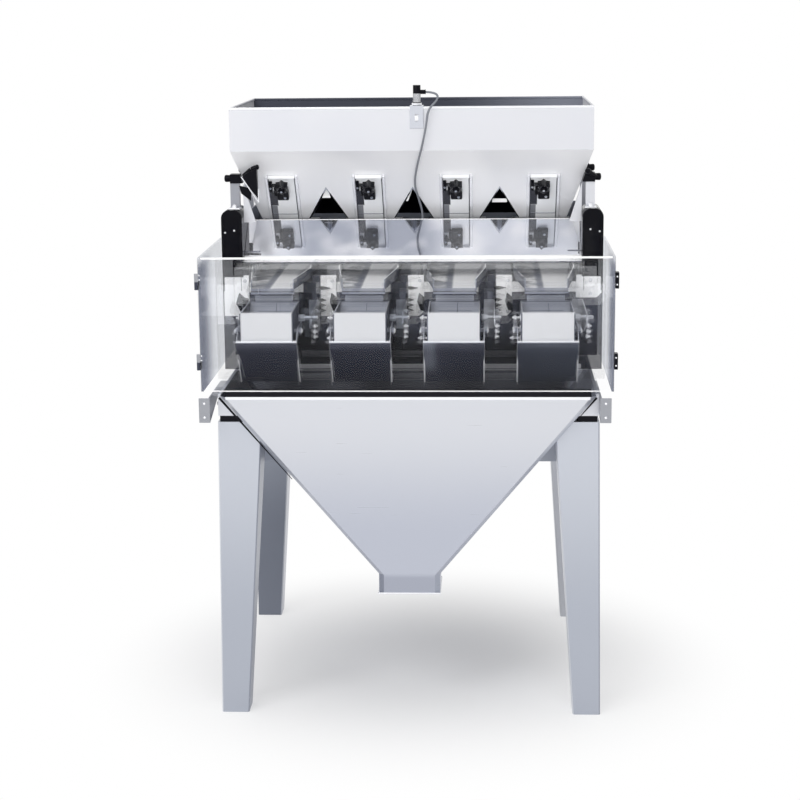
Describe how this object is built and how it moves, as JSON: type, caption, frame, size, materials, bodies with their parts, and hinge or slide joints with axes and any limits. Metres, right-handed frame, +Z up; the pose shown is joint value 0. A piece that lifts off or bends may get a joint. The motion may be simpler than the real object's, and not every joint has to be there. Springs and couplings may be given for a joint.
{
  "type": "linear weigher",
  "caption": "Stainless steel linear weigher: storage hopper with slide gates, feeder pans, weigh buckets with drop doors behind a clear guard, and a collecting funnel on splayed legs",
  "frame": {"origin": "on the floor, under the middle of the machine", "axes": "+Z up, the guarded front with the weigh buckets looks along -Y, +X to the right seen from the front"},
  "size_m": [0.9366, 0.83, 1.44],
  "materials": {
    "brushed_stainless": "brushed stainless steel sheet",
    "polished_stainless": "mirror-polished stainless steel sheet",
    "clear_acrylic": "clear acrylic sheet",
    "black_rubber": "matt black rubber",
    "black_plastic": "black moulded plastic",
    "grey_cable": "grey plastic cable sheath"
  },
  "bodies": {
    "machine": {"front_legs": "brushed_stainless", "rear_legs": "brushed_stainless", "leg_pads": "black_rubber", "frame_rails": "brushed_stainless", "corner_brackets": "brushed_stainless", "control_cabinet": "brushed_stainless", "drive_housing": "polished_stainless", "collecting_funnel": "polished_stainless", "guard_sides": "clear_acrylic", "guard_seal": "black_rubber", "hinge_pins": "brushed_stainless", "guard_latches": "black_plastic", "upper_cover": "polished_stainless", "end_covers": "black_plastic", "hopper_posts": "brushed_stainless", "post_clamps": "black_plastic", "hopper_front": "polished_stainless", "hopper_back": "polished_stainless", "hopper_sides": "polished_stainless", "rear_cover": "brushed_stainless", "cabinet_panel": "brushed_stainless", "door_pushers": "brushed_stainless", "hopper_dividers": "polished_stainless", "gate_guides": "polished_stainless", "feeder_pans": "polished_stainless", "vibrator_drives": "brushed_stainless", "pan_shelf": "polished_stainless", "bucket_hangers": "brushed_stainless", "sensor_bracket": "brushed_stainless", "level_sensor": "black_plastic", "cable_gland": "black_plastic", "sensor_cable": "grey_cable", "weigh_bucket_1": "polished_stainless", "weigh_bucket_2": "polished_stainless", "weigh_bucket_3": "polished_stainless", "weigh_bucket_4": "polished_stainless"},
    "guard": {"guard_door": "clear_acrylic", "hinge_eyes": "brushed_stainless"},
    "gate_1": {"gate_plate_1": "polished_stainless"},
    "door_1": {"weigh_door_1": "polished_stainless"},
    "gate_2": {"gate_plate_2": "polished_stainless"},
    "door_2": {"weigh_door_2": "polished_stainless"},
    "gate_3": {"gate_plate_3": "polished_stainless"},
    "door_3": {"weigh_door_3": "polished_stainless"},
    "gate_4": {"gate_plate_4": "polished_stainless"},
    "door_4": {"weigh_door_4": "polished_stainless"}
  },
  "joints": [
    {"name": "guard_hinge", "type": "hinge", "parent": "machine", "child": "guard", "pos_m": [-0.4643, -0.41, 0.932], "axis": [0, 0, -1], "range_deg": [0, 110]},
    {"name": "gate_slide_1", "type": "slide", "parent": "machine", "child": "gate_1", "axis": [0, -0.6536, 0.7568], "range_m": [-0.03, 0.06]},
    {"name": "door_hinge_1", "type": "hinge", "parent": "machine", "child": "door_1", "pos_m": [-0.315, -0.33, 0.905], "axis": [-1, 0, 0], "range_deg": [0, 45], "stiffness_Nm_per_rad": 0.8, "springref_deg": -20.05},
    {"name": "gate_slide_2", "type": "slide", "parent": "machine", "child": "gate_2", "axis": [0, -0.6536, 0.7568], "range_m": [-0.03, 0.06]},
    {"name": "door_hinge_2", "type": "hinge", "parent": "machine", "child": "door_2", "pos_m": [-0.105, -0.33, 0.905], "axis": [-1, 0, 0], "range_deg": [0, 45], "stiffness_Nm_per_rad": 0.8, "springref_deg": -20.05},
    {"name": "gate_slide_3", "type": "slide", "parent": "machine", "child": "gate_3", "axis": [0, -0.6536, 0.7568], "range_m": [-0.03, 0.06]},
    {"name": "door_hinge_3", "type": "hinge", "parent": "machine", "child": "door_3", "pos_m": [0.105, -0.33, 0.905], "axis": [-1, 0, 0], "range_deg": [0, 45], "stiffness_Nm_per_rad": 0.8, "springref_deg": -20.05},
    {"name": "gate_slide_4", "type": "slide", "parent": "machine", "child": "gate_4", "axis": [0, -0.6536, 0.7568], "range_m": [-0.03, 0.06]},
    {"name": "door_hinge_4", "type": "hinge", "parent": "machine", "child": "door_4", "pos_m": [0.315, -0.33, 0.905], "axis": [-1, 0, 0], "range_deg": [0, 45], "stiffness_Nm_per_rad": 0.8, "springref_deg": -20.05}
  ]
}
